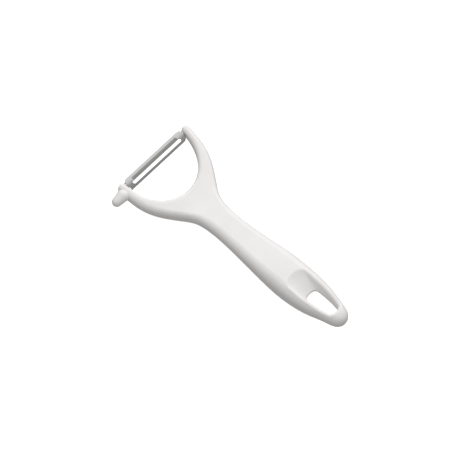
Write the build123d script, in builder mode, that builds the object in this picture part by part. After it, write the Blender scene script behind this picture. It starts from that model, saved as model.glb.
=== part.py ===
from build123d import *
import os
from math import asin, cos, degrees, radians, sin, sqrt

# The peeler lies on its flat underside, as on a table. X points along the handle to the blade,
# Y to the arm that carries the eye remover, and Z up. The origin is on the table, under the
# middle of the handle's flat land. All lengths are in millimetres.

# Lengths along the handle, each from the named place before it. The neck and the palm are
# measured from the origin.
neck_reach = 9.0
neck_to_root = 29.0
root_to_axis = 38.0
axis_to_tip = 3.1
palm_reach = 43.0
palm_to_ring = 34.0
ring_to_tail = 10.9

# Widths, heights and edge roundings of the handle at those places
ring_width = 16.5
ring_top = 18.0
ring_bottom = 6.2
ring_corner = 5.0
palm_width = 26.0
palm_top = 16.2
palm_corner = 6.4
neck_width = 19.2
neck_top = 11.0
neck_corner = 4.4
root_width = 33.2
root_top = 9.7
root_corner = 3.9
tips_top = 15.1
tips_bottom = 6.9
tips_corner = 2.9

# The underside is moulded a little proud and is flat where it meets the table
land_depth = 0.4

# The rounded end of the ring: its radius in plan, and how full it is seen from the side
nose_radius = 6.8
nose_fullness_share = 0.75
nose_corner_share = 0.88
nose_angles = [81, 68, 53, 36, 20]

# Cross-sections on the way from one named place to the next, as shares of that way: the place,
# the width and the heights
tail_shares = [(0.67, 0.42, 0.62), (0.33, 0.10, 0.24)]
waist_shares = [(0.25, 0.11, 0.16), (0.50, 0.44, 0.51), (0.75, 0.78, 0.84)]
shoulder_shares = [(0.42, 0.04, 0.45), (0.72, 0.30, 0.80)]
arm_shares = [(0.18, 0.34, 0.085), (0.37, 0.645, 0.23), (0.58, 0.86, 0.45), (0.80, 0.965, 0.74)]

# The opening between the arms: half an ellipse about the blade's axis, and straight in front of
# it. The share is that of the arms which stays whole behind it.
opening_width = 51.4
crotch_share = 0.25
arm_thickness = 5.6
arm_rounding = 2.5

# The hanging hole has a thin lip at mid thickness, from which a trough rises to each face. Both
# outlines have a bowed front, bowed sides and a rounded end towards the tail.
lip_thickness = 1.4
palm_to_trough = 1.5
trough_to_lip = 13.1
lip_width = 8.8
lip_bow = 1.4
lip_end_bar = 7.8
lip_end_width = 5.2
lip_side_bow = 1.2
lip_corner = 3.0
lip_end_corner = 2.5
trough_height = 7.7
trough_width = 14.2
trough_bow = 2.3
trough_end_bar = 6.3
trough_end_width = 8.4
trough_side_bow = 1.3
trough_corner = 2.4
trough_end_corner = 3.2
trough_overrun_share = 0.3
trough_rounding = 1.6

# The eye remover is an egg that stands out of the outer side of one arm, scooped out beneath
eye_behind_axis = 2.9
eye_length = 9.0
eye_root_radius = 4.1
eye_tip_radius = 3.2
eye_droop = 8
scoop_radius = 3.3
scoop_reach = 4.7
scoop_drop = 3.0

# The blade is one stamping of thin sheet, arched across, with a long slot. Its front and back
# edges and those of the slot are measured from the axis.
blade_sheet = 0.6
blade_arch_radius = 9.0
blade_side_gap = 0.8
blade_front = 3.6
blade_back = 4.5
blade_corner = 2.6
blade_slant = 0.8
slot_end = 3.6
slot_front = 1.0
slot_back = 3.1

# The cutting edge is ground along the front side of the slot
bevel_inset = 1.75
bevel_reach = 1.4
edge_sheet = 0.12

# Each end of the blade is a tab, pressed half round, that turns in a bore of the arm. A rib in the
# bore stops it, a little after the swing on each side of level.
tab_width = 4.4
pin_radius = 2.15
pin_length = 3.6
swing = 38

# Clearances of the blade in the handle
running_gap = 0.08
stop_gap = 0.1
body_gap = 0.3

overrun = 4.0

os.makedirs("parts", exist_ok=True)

root_reach = neck_reach + neck_to_root
axis_reach = root_reach + root_to_axis
tip_reach = axis_reach + axis_to_tip
ring_reach = palm_reach + palm_to_ring
tail_reach = ring_reach + ring_to_tail
tips_width = opening_width + 2 * arm_thickness

ring = (-ring_reach, ring_width, ring_top, ring_bottom, ring_corner)
palm = (-palm_reach, palm_width, palm_top, -land_depth, palm_corner)
neck = (neck_reach, neck_width, neck_top, -land_depth, neck_corner)
root = (root_reach, root_width, root_top, -land_depth, root_corner)
tips = (axis_reach, tips_width, tips_top, tips_bottom, tips_corner)
tip_ends = (tip_reach, tips_width, tips_top, tips_bottom, tips_corner)


def between(first, last, shares):
    """The cross-sections on the way from one named place to another."""
    rows = []
    for place, width, height in shares:
        blend = (place, width, height, height, height)
        rows.append([a + share * (b - a) for a, b, share in zip(first, last, blend)])
    return rows


def is_outer(edge, group):
    """Whether an edge belongs to just one face of a group."""
    return sum(edge in face.edges() for face in group) == 1


# The end of the ring closes like the end of an egg
ring_middle = (ring_top + ring_bottom) / 2
nose = []
for angle in nose_angles:
    closing = cos(radians(angle))
    half_width = nose_radius * closing
    half_height = (ring_top - ring_bottom) / 2 * closing**nose_fullness_share
    place = nose_radius * (1 - sin(radians(angle))) - tail_reach
    corner = nose_corner_share * min(half_width, half_height)
    nose.append((place, 2 * half_width, ring_middle + half_height, ring_middle - half_height, corner))

stations = [
    *nose,
    ring,
    *between(palm, ring, tail_shares),
    palm,
    *between(palm, neck, waist_shares),
    neck,
    *between(neck, root, shoulder_shares),
    root,
    *between(root, tips, arm_shares),
    tips,
    tip_ends,
]

# The mid plane of the ring, which rises a little towards the tail
palm_middle = (palm_top - land_depth) / 2
ring_slope = (palm_middle - ring_middle) / (ring_reach - palm_reach)
mid_plane = Plane(
    origin=(0, 0, palm_middle + ring_slope * palm_reach),
    x_dir=(1, 0, ring_slope),
    z_dir=(-ring_slope, 0, 1),
)

trough_reach = palm_reach + palm_to_trough
trough_sides = (trough_width, trough_end_width, trough_side_bow, trough_corner, trough_end_corner)
trough = (trough_reach, trough_bow, tail_reach - trough_end_bar, *trough_sides)
lip_reach = trough_reach + trough_to_lip
lip_sides = (lip_width, lip_end_width, lip_side_bow, lip_corner, lip_end_corner)
lip = (lip_reach, lip_bow, tail_reach - lip_end_bar, *lip_sides)
mouth = [a + (1 + trough_overrun_share) * (b - a) for a, b in zip(lip, trough)]
mouth_height = lip_thickness / 2 + (1 + trough_overrun_share) * (trough_height - lip_thickness / 2)
hole_levels = [
    (-mouth_height, mouth),
    (-lip_thickness / 2, lip),
    (lip_thickness / 2, lip),
    (mouth_height, mouth),
]

with BuildPart() as hanging_hole:
    for level, outline in hole_levels:
        reach, bow, end_reach, width, end_width, side_bow, corner, end_corner = outline
        with BuildSketch(mid_plane.offset(level)):
            front_corners = [(-reach - bow, width / 2), (-reach - bow, -width / 2)]
            end_corners = [(-end_reach, -end_width / 2), (-end_reach, end_width / 2)]
            side_middle = -(reach + bow + end_reach) / 2
            side_reach = (width + end_width) / 4 + side_bow
            with BuildLine():
                ThreePointArc(front_corners[0], (-reach, 0), front_corners[1])
                ThreePointArc(front_corners[1], (side_middle, -side_reach), end_corners[0])
                Line(end_corners[0], end_corners[1])
                ThreePointArc(end_corners[1], (side_middle, side_reach), front_corners[0])
            make_face()
            fillet(vertices().sort_by(Axis.X)[:2], radius=end_corner)
            fillet(vertices().sort_by(Axis.X)[-2:], radius=corner)
    loft(ruled=True)

# The egg of the eye remover, whose inner end stays within the arm, and its scoop
eye_tip_middle = eye_length - eye_tip_radius
eye_taper = degrees(asin((eye_root_radius - eye_tip_radius) / eye_tip_middle))
with BuildPart() as eye_egg:
    with BuildSketch():
        with BuildLine():
            inner_end = CenterArc((0, 0), eye_root_radius, -90, 90 + eye_taper)
            cap = CenterArc((0, eye_tip_middle), eye_tip_radius, eye_taper, 90 - eye_taper)
            Line(inner_end @ 1, cap @ 0)
            Line(cap @ 1, inner_end @ 0)
        make_face()
    revolve(axis=Axis.Y)

with BuildPart() as scoop_ball:
    Sphere(scoop_radius)

axis_height = (tips_top + tips_bottom) / 2
eye_place = (axis_reach - eye_behind_axis, tips_width / 2, axis_height)
eye_seat = Location(eye_place, (-eye_droop, 0, 0))

# The pivot bore of one arm, and the rib in its lower half that stops the blade
bore_radius = pin_radius + running_gap
bore_end = opening_width / 2 + pin_length + body_gap
rib_angle = radians(90 - swing) - stop_gap / pin_radius
rib_side = 2 * bore_radius * sin(rib_angle)
rib_foot = -2 * bore_radius * cos(rib_angle)
bore_plane = Plane(origin=(axis_reach, 0, axis_height), x_dir=(1, 0, 0), z_dir=(0, -1, 0))
with BuildPart() as pivot_bore:
    with BuildSketch(bore_plane.offset(bore_end)):
        Circle(bore_radius)
        with BuildLine():
            Polyline((0, 0), (rib_side, rib_foot), (-rib_side, rib_foot), close=True)
        make_face(mode=Mode.SUBTRACT)
    extrude(amount=-pin_length - overrun)

with BuildPart() as handle_body:
    for place, width, top, bottom, corner in stations:
        middle = (0, (top + bottom) / 2)
        with BuildSketch(Plane.YZ.offset(place)):
            with Locations(middle):
                RectangleRounded(width, top - bottom, corner)
    loft()
    # The opening between the arms, rounded with the arm tips
    with BuildSketch(Plane.XY.offset(-overrun)):
        with Locations((axis_reach, 0)):
            Ellipse((1 - crotch_share) * root_to_axis, opening_width / 2)
            Rectangle(axis_to_tip + overrun, opening_width, align=(Align.MIN, Align.CENTER))
    extrude(amount=tips_top + 2 * overrun, mode=Mode.SUBTRACT)
    tip_faces = handle_body.faces().filter_by(Axis.X).sort_by(Axis.X)[-2:]
    rims = handle_body.edges(Select.LAST).filter_by(GeomType.BSPLINE)
    fillet(ShapeList([*rims, *tip_faces.edges()]), radius=arm_rounding)
    # The hanging hole, rounded where it meets the faces of the handle
    add(hanging_hole.part, mode=Mode.SUBTRACT)
    hole_faces = faces(Select.LAST).filter_by_position(Axis.X, -tail_reach, -trough_reach)
    rims = [edge for edge in hole_faces.edges() if is_outer(edge, hole_faces)]
    fillet(rims, radius=trough_rounding)
    # The eye remover and its scoop
    with Locations(eye_seat):
        add(eye_egg.part)
    with Locations(eye_seat * Location((0, scoop_reach, -scoop_drop))):
        add(scoop_ball.part, mode=Mode.SUBTRACT)
    # The flat land
    split(bisect_by=Plane.XY)
    # The bores
    add(pivot_bore.part, mode=Mode.SUBTRACT)
    mirror(pivot_bore.part, about=Plane.XZ, mode=Mode.SUBTRACT)

handle_body.part.label = "handle_body"
export_step(handle_body.part, "parts/handle_body.step")

# Planes through the middle of the blade: one across it, and one flat
blade_middle = (axis_reach, 0, axis_height)
blade_across = Plane(origin=blade_middle, x_dir=(1, 0, 0), z_dir=(0, -1, 0))
blade_flat = Plane(origin=blade_middle)
half_length = opening_width / 2 - blade_side_gap
slot_half_length = half_length - slot_end
pin_inside = pin_radius - blade_sheet
arch_top = (0, pin_radius)
arch_centre = (0, pin_radius - blade_arch_radius)
arch_inside = blade_arch_radius - blade_sheet
edge_height = arch_centre[1] + sqrt(arch_inside**2 - slot_front**2) + edge_sheet
bevel_height = arch_centre[1] + sqrt(blade_arch_radius**2 - bevel_reach**2)
bevel_top = 2 * pin_radius
tab_angle = degrees(asin(tab_width / 2 / blade_arch_radius))
tab_length = blade_side_gap - body_gap
pin_end = opening_width / 2 + pin_length

with BuildPart() as blade:
    # The arched strip
    with BuildSketch(blade_across):
        with Locations(arch_centre):
            Circle(blade_arch_radius)
            Circle(arch_inside, mode=Mode.SUBTRACT)
        with Locations(arch_top):
            Rectangle(2 * blade_arch_radius, blade_arch_radius, mode=Mode.INTERSECT)
    extrude(amount=half_length, both=True)
    # Its outline from above, two corners of which are rounded
    with BuildSketch(blade_flat):
        with BuildLine():
            Polyline(
                (blade_front, half_length),
                (-blade_back, half_length),
                (-blade_back, -half_length),
                (blade_front - blade_slant, -half_length),
                (blade_front, blade_corner - half_length),
                close=True,
            )
        make_face()
        left_corner = vertices().sort_by(Axis.Y)[-2:].sort_by(Axis.X)[-1]
        right_corner = vertices().sort_by(Axis.Y)[:2].sort_by(Axis.X)[0]
        fillet([left_corner, right_corner], radius=blade_corner)
    extrude(amount=2 * pin_radius, both=True, mode=Mode.INTERSECT)
    # The slot
    with BuildSketch(blade_flat):
        with Locations((-(slot_front + slot_back) / 2, 0)):
            SlotOverall(2 * slot_half_length, slot_back - slot_front, rotation=90)
    extrude(amount=2 * pin_radius, both=True, mode=Mode.SUBTRACT)
    # The ground bevel
    with BuildSketch(blade_across):
        with BuildLine():
            Polyline(
                (bevel_reach, bevel_height),
                (-slot_front, edge_height),
                (-slot_front, bevel_top),
                (bevel_reach, bevel_top),
                close=True,
            )
        make_face()
    extrude(amount=slot_half_length - bevel_inset, both=True, mode=Mode.SUBTRACT)
    # The tab at one end, which narrows from the strip to its half-round pin
    with BuildSketch(blade_across.offset(half_length)):
        with BuildLine():
            outside = CenterArc(arch_centre, blade_arch_radius, 90 - tab_angle, 2 * tab_angle)
            inside = CenterArc(arch_centre, arch_inside, 90 - tab_angle, 2 * tab_angle)
            Line(outside @ 0, inside @ 0)
            Line(outside @ 1, inside @ 1)
        make_face()
    with BuildSketch(blade_across.offset(half_length + tab_length)):
        with BuildLine():
            outside = CenterArc((0, 0), pin_radius, 0, 180)
            inside = CenterArc((0, 0), pin_inside, 0, 180)
            Line(outside @ 0, inside @ 0)
            Line(outside @ 1, inside @ 1)
        make_face()
    loft(ruled=True)
    extrude(faces().sort_by(Axis.Y)[0], amount=pin_end - half_length - tab_length)
    # And the same at the other end
    tab = blade.part.split(blade_across.offset(half_length), keep=Keep.TOP)
    mirror(tab, about=blade_across)

blade.part.label = "blade"
export_step(blade.part, "parts/blade.step")
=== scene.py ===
import math

import bmesh
import bpy
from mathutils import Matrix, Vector


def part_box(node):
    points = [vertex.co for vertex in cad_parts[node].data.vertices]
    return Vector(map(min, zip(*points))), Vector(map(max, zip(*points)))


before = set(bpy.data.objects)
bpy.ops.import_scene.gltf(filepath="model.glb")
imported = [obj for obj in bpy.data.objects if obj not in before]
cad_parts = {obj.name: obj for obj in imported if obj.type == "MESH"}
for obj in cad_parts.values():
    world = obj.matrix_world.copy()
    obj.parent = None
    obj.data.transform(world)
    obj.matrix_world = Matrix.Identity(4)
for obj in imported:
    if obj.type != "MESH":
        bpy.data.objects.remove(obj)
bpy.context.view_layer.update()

# The handle is one injection moulding of white ABS, from the hanging hole to the forked head and
# the eye remover on one arm. The mould was polished to a satin gloss, so the surface shows only the
# faint waves of plastic that shrank as it cooled, and a grain too shallow to feel.
MM = 0.001
shrink_wave, shrink_depth = 9 * MM, 0.05 * MM
satin_grain, satin_depth = 0.6 * MM, 0.004 * MM


def colour(sheet_hex):
    """An sRGB hex colour as the linear RGBA that a shader takes."""
    channels = [int(sheet_hex[i : i + 2], 16) / 255 for i in (0, 2, 4)]
    linear = [c / 12.92 if c <= 0.04045 else ((c + 0.055) / 1.055) ** 2.4 for c in channels]
    return (*linear, 1.0)


def add_node(owner, kind, links=(), inputs=(), **settings):
    """One shader node with its settings, its input values and its links from other nodes.

    A socket goes by its name, or by its number on a Math node, whose sockets share one name.
    """
    node = owner.node_tree.nodes.new(kind)
    for name, value in settings.items():
        setattr(node, name, value)
    for socket, value in dict(inputs).items():
        node.inputs[socket].default_value = value
    for socket, source in dict(links).items():
        owner.node_tree.links.new(source, node.inputs[socket])
    return node


moulded_abs = bpy.data.materials.new("moulded_white_abs")
moulded_abs.use_nodes = True
moulded_abs.node_tree.nodes.clear()
abs_place = add_node(moulded_abs, "ShaderNodeTexCoord")
abs_wave = add_node(
    moulded_abs, "ShaderNodeTexNoise", links={"Vector": abs_place.outputs["Object"]},
    inputs={"Scale": 1 / shrink_wave, "Detail": 1.0, "Roughness": 0.4},
)
abs_grain = add_node(
    moulded_abs, "ShaderNodeTexNoise", links={"Vector": abs_place.outputs["Object"]},
    inputs={"Scale": 1 / satin_grain, "Detail": 2.0, "Roughness": 0.5},
)
abs_wave_bump = add_node(
    moulded_abs, "ShaderNodeBump", links={"Height": abs_wave.outputs["Fac"]},
    inputs={"Strength": 0.18, "Distance": shrink_depth},
)
abs_bump = add_node(
    moulded_abs, "ShaderNodeBump",
    links={"Height": abs_grain.outputs["Fac"], "Normal": abs_wave_bump.outputs["Normal"]},
    inputs={"Strength": 0.2, "Distance": satin_depth},
)
# The white is painted a shade darker in the troughs of the waves than on their crests: painted shade
# in the troughs, following the same noise as the bump
abs_tone_and_trough_shade = add_node(
    moulded_abs, "ShaderNodeValToRGB", links={"Fac": abs_wave.outputs["Fac"]},
)
shaded_trough, crest = abs_tone_and_trough_shade.color_ramp.elements
shaded_trough.position, shaded_trough.color = 0.3, colour("F0EFEE")
crest.position, crest.color = 0.7, colour("F3F2F2")
abs_gloss = add_node(
    moulded_abs, "ShaderNodeMapRange", links={"Value": abs_grain.outputs["Fac"]},
    inputs={"To Min": 0.30, "To Max": 0.38},
)
abs_shader = add_node(
    moulded_abs, "ShaderNodeBsdfPrincipled",
    links={
        "Base Color": abs_tone_and_trough_shade.outputs["Color"],
        "Roughness": abs_gloss.outputs["Result"],
        "Normal": abs_bump.outputs["Normal"],
    },
    inputs={"IOR": 1.52},
)
add_node(
    moulded_abs, "ShaderNodeOutputMaterial", links={"Surface": abs_shader.outputs["BSDF"]},
)
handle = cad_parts["handle_body"]
handle.data.materials.clear()
handle.data.materials.append(moulded_abs)

# The blade is one stamping of cold-rolled stainless steel strip. It is pressed into a shallow arch,
# slotted, and ground along the front of the slot; its two end tabs turn in the arms. The roll's
# fine lines run along the strip, drawn 0.25 mm apart so that they show.
roll_line, roll_depth = 0.25 * MM, 0.004 * MM
squeeze_along_strip = 0.03

rolled_steel = bpy.data.materials.new("rolled_stainless_steel")
rolled_steel.use_nodes = True
rolled_steel.node_tree.nodes.clear()
steel_place = add_node(rolled_steel, "ShaderNodeTexCoord")
steel_stretch = add_node(
    rolled_steel, "ShaderNodeMapping", links={"Vector": steel_place.outputs["Object"]},
    inputs={"Scale": (1.0, squeeze_along_strip, 1.0)},
)
steel_lines = add_node(
    rolled_steel, "ShaderNodeTexNoise", links={"Vector": steel_stretch.outputs["Vector"]},
    inputs={"Scale": 1 / roll_line, "Detail": 3.0, "Roughness": 0.6},
)
steel_bump = add_node(
    rolled_steel, "ShaderNodeBump", links={"Height": steel_lines.outputs["Fac"]},
    inputs={"Strength": 0.3, "Distance": roll_depth},
)
# The grinding wheel leaves a band along the slot, as long as the bevel but narrower, that is duller
# than the rolled face;
# the band is also painted darker, a painted shade that stands in for the darker reflection the bevel
# shows
blade_low, blade_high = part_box("blade")
band_back = blade_high[0] - 4.7 * MM
band_front = blade_high[0] - 3.0 * MM
band_end = blade_high[1] - 9.8 * MM
band_extra_roughness = 0.1
steel_axes = add_node(
    rolled_steel, "ShaderNodeSeparateXYZ", links={"Vector": steel_place.outputs["Object"]},
)
across_band = add_node(
    rolled_steel, "ShaderNodeMath", links={0: steel_axes.outputs["X"]}, operation="COMPARE",
    inputs={1: (band_back + band_front) / 2, 2: (band_front - band_back) / 2},
)
along_band = add_node(
    rolled_steel, "ShaderNodeMath", links={0: steel_axes.outputs["Y"]}, operation="COMPARE",
    inputs={1: 0.0, 2: band_end},
)
on_band = add_node(
    rolled_steel, "ShaderNodeMath", operation="MULTIPLY",
    links={0: across_band.outputs["Value"], 1: along_band.outputs["Value"]},
)
steel_tone_and_band_shade = add_node(
    rolled_steel, "ShaderNodeValToRGB", links={"Fac": on_band.outputs["Value"]},
)
# Painted shade: the band's colour is darker than the rolled face's
rolled_face, shaded_ground_band = steel_tone_and_band_shade.color_ramp.elements
rolled_face.color = colour("BABBBB")
shaded_ground_band.color = colour("A6A6A3")
rolled_gloss = add_node(
    rolled_steel, "ShaderNodeMapRange", links={"Value": steel_lines.outputs["Fac"]},
    inputs={"To Min": 0.24, "To Max": 0.38},
)
steel_gloss = add_node(
    rolled_steel, "ShaderNodeMath", operation="MULTIPLY_ADD",
    links={0: on_band.outputs["Value"], 2: rolled_gloss.outputs["Result"]},
    inputs={1: band_extra_roughness},
)
steel_shader = add_node(
    rolled_steel, "ShaderNodeBsdfPrincipled",
    links={
        "Base Color": steel_tone_and_band_shade.outputs["Color"],
        "Roughness": steel_gloss.outputs["Value"],
        "Normal": steel_bump.outputs["Normal"],
    },
    inputs={"Metallic": 1.0},
)
add_node(
    rolled_steel, "ShaderNodeOutputMaterial", links={"Surface": steel_shader.outputs["BSDF"]},
)
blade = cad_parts["blade"]
blade.data.materials.clear()
blade.data.materials.append(rolled_steel)

# The floor is a sheet of white paper, lit until it is as white as the photograph's ground. It
# throws no light on the peeler and isn't mirrored in the blade.
floor_reach = 3.0

floor_form = bmesh.new()
bmesh.ops.create_grid(floor_form, x_segments=1, y_segments=1, size=floor_reach)
floor_mesh = bpy.data.meshes.new("floor")
floor_form.to_mesh(floor_mesh)
floor_form.free()
floor = bpy.data.objects.new("floor", floor_mesh)
bpy.context.scene.collection.objects.link(floor)
white_paper = bpy.data.materials.new("white_paper")
white_paper.use_nodes = True
white_paper.node_tree.nodes.clear()
paper_shader = add_node(
    white_paper, "ShaderNodeBsdfPrincipled",
    inputs={
        "Base Color": colour("F6F6F6"),
        "Roughness": 0.9,
        "Emission Color": colour("FFFFFF"),
        "Emission Strength": 0.7,
    },
)
add_node(
    white_paper, "ShaderNodeOutputMaterial", links={"Surface": paper_shader.outputs["BSDF"]},
)
floor_mesh.materials.append(white_paper)
floor.visible_diffuse = False
floor.visible_glossy = False


# The light is soft and comes from behind: a wide screen past the blade and a weaker one overhead,
# so the near sides of the handle fall into shade
def add_screen(name, azimuth, elevation, distance, width, height, watts):
    """A soft screen that faces the peeler, placed by its bearing from it in degrees."""
    turn, rise = math.radians(azimuth), math.radians(elevation)
    away = Vector((
        math.cos(turn) * math.cos(rise),
        math.sin(turn) * math.cos(rise),
        math.sin(rise),
    ))
    light = bpy.data.lights.new(name, "AREA")
    light.shape = "RECTANGLE"
    light.size, light.size_y = width, height
    light.energy = watts
    lamp = bpy.data.objects.new(name, light)
    lamp.location = away * distance
    lamp.rotation_euler = away.to_track_quat("Z", "Y").to_euler()
    bpy.context.scene.collection.objects.link(lamp)
    return lamp


add_screen(
    "back_screen", azimuth=-55, elevation=34, distance=1.0, width=1.8, height=1.2, watts=6.0,
)
top_screen = add_screen(
    "top_screen", azimuth=-60, elevation=75, distance=1.1, width=1.2, height=1.2, watts=5.1,
)
# Seen in the steel, the top screen would whiten the ground bevel
top_screen.visible_glossy = False

# The room's walls are pale above the table and a little darker below it, which shades the undersides
room = bpy.data.worlds.new("room")
bpy.context.scene.world = room
room.use_nodes = True
room.node_tree.nodes.clear()
room_bearing = add_node(room, "ShaderNodeTexCoord")
room_height = add_node(
    room, "ShaderNodeSeparateXYZ", links={"Vector": room_bearing.outputs["Generated"]},
)
room_light = add_node(
    room, "ShaderNodeMapRange", links={"Value": room_height.outputs["Z"]},
    inputs={"From Min": -0.3, "From Max": 0.3, "To Min": 0.31, "To Max": 0.43},
)
room_walls = add_node(
    room, "ShaderNodeBackground", links={"Strength": room_light.outputs["Result"]},
    inputs={"Color": colour("FFFDFB")},
)
add_node(room, "ShaderNodeOutputWorld", links={"Surface": room_walls.outputs["Background"]})

# The camera stands a long way off and looks down on the peeler, with the blade at the upper left.
# The photograph is 466 pixels wide, and each covers 0.624 mm of the peeler.
picture_width = 466 * 0.624 * MM
camera_azimuth, camera_elevation = math.radians(223.75), math.radians(63.5)
camera_distance = 4.0
looked_at = Vector((9.3, -1.1, 0)) * MM
back = Vector((
    math.sin(camera_azimuth) * math.cos(camera_elevation),
    -math.cos(camera_azimuth) * math.cos(camera_elevation),
    math.sin(camera_elevation),
))
camera_data = bpy.data.cameras.new("camera")
camera_data.lens = camera_data.sensor_width * camera_distance / picture_width
camera_data.clip_start, camera_data.clip_end = 0.01, 20
camera = bpy.data.objects.new("camera", camera_data)
camera.location = looked_at + back * camera_distance
camera.rotation_mode = "QUATERNION"
camera.rotation_quaternion = back.to_track_quat("Z", "Y")
bpy.context.scene.collection.objects.link(camera)
bpy.context.scene.camera = camera
# The Standard view keeps the paper as white as the photograph's ground
bpy.context.scene.view_settings.view_transform = "Standard"
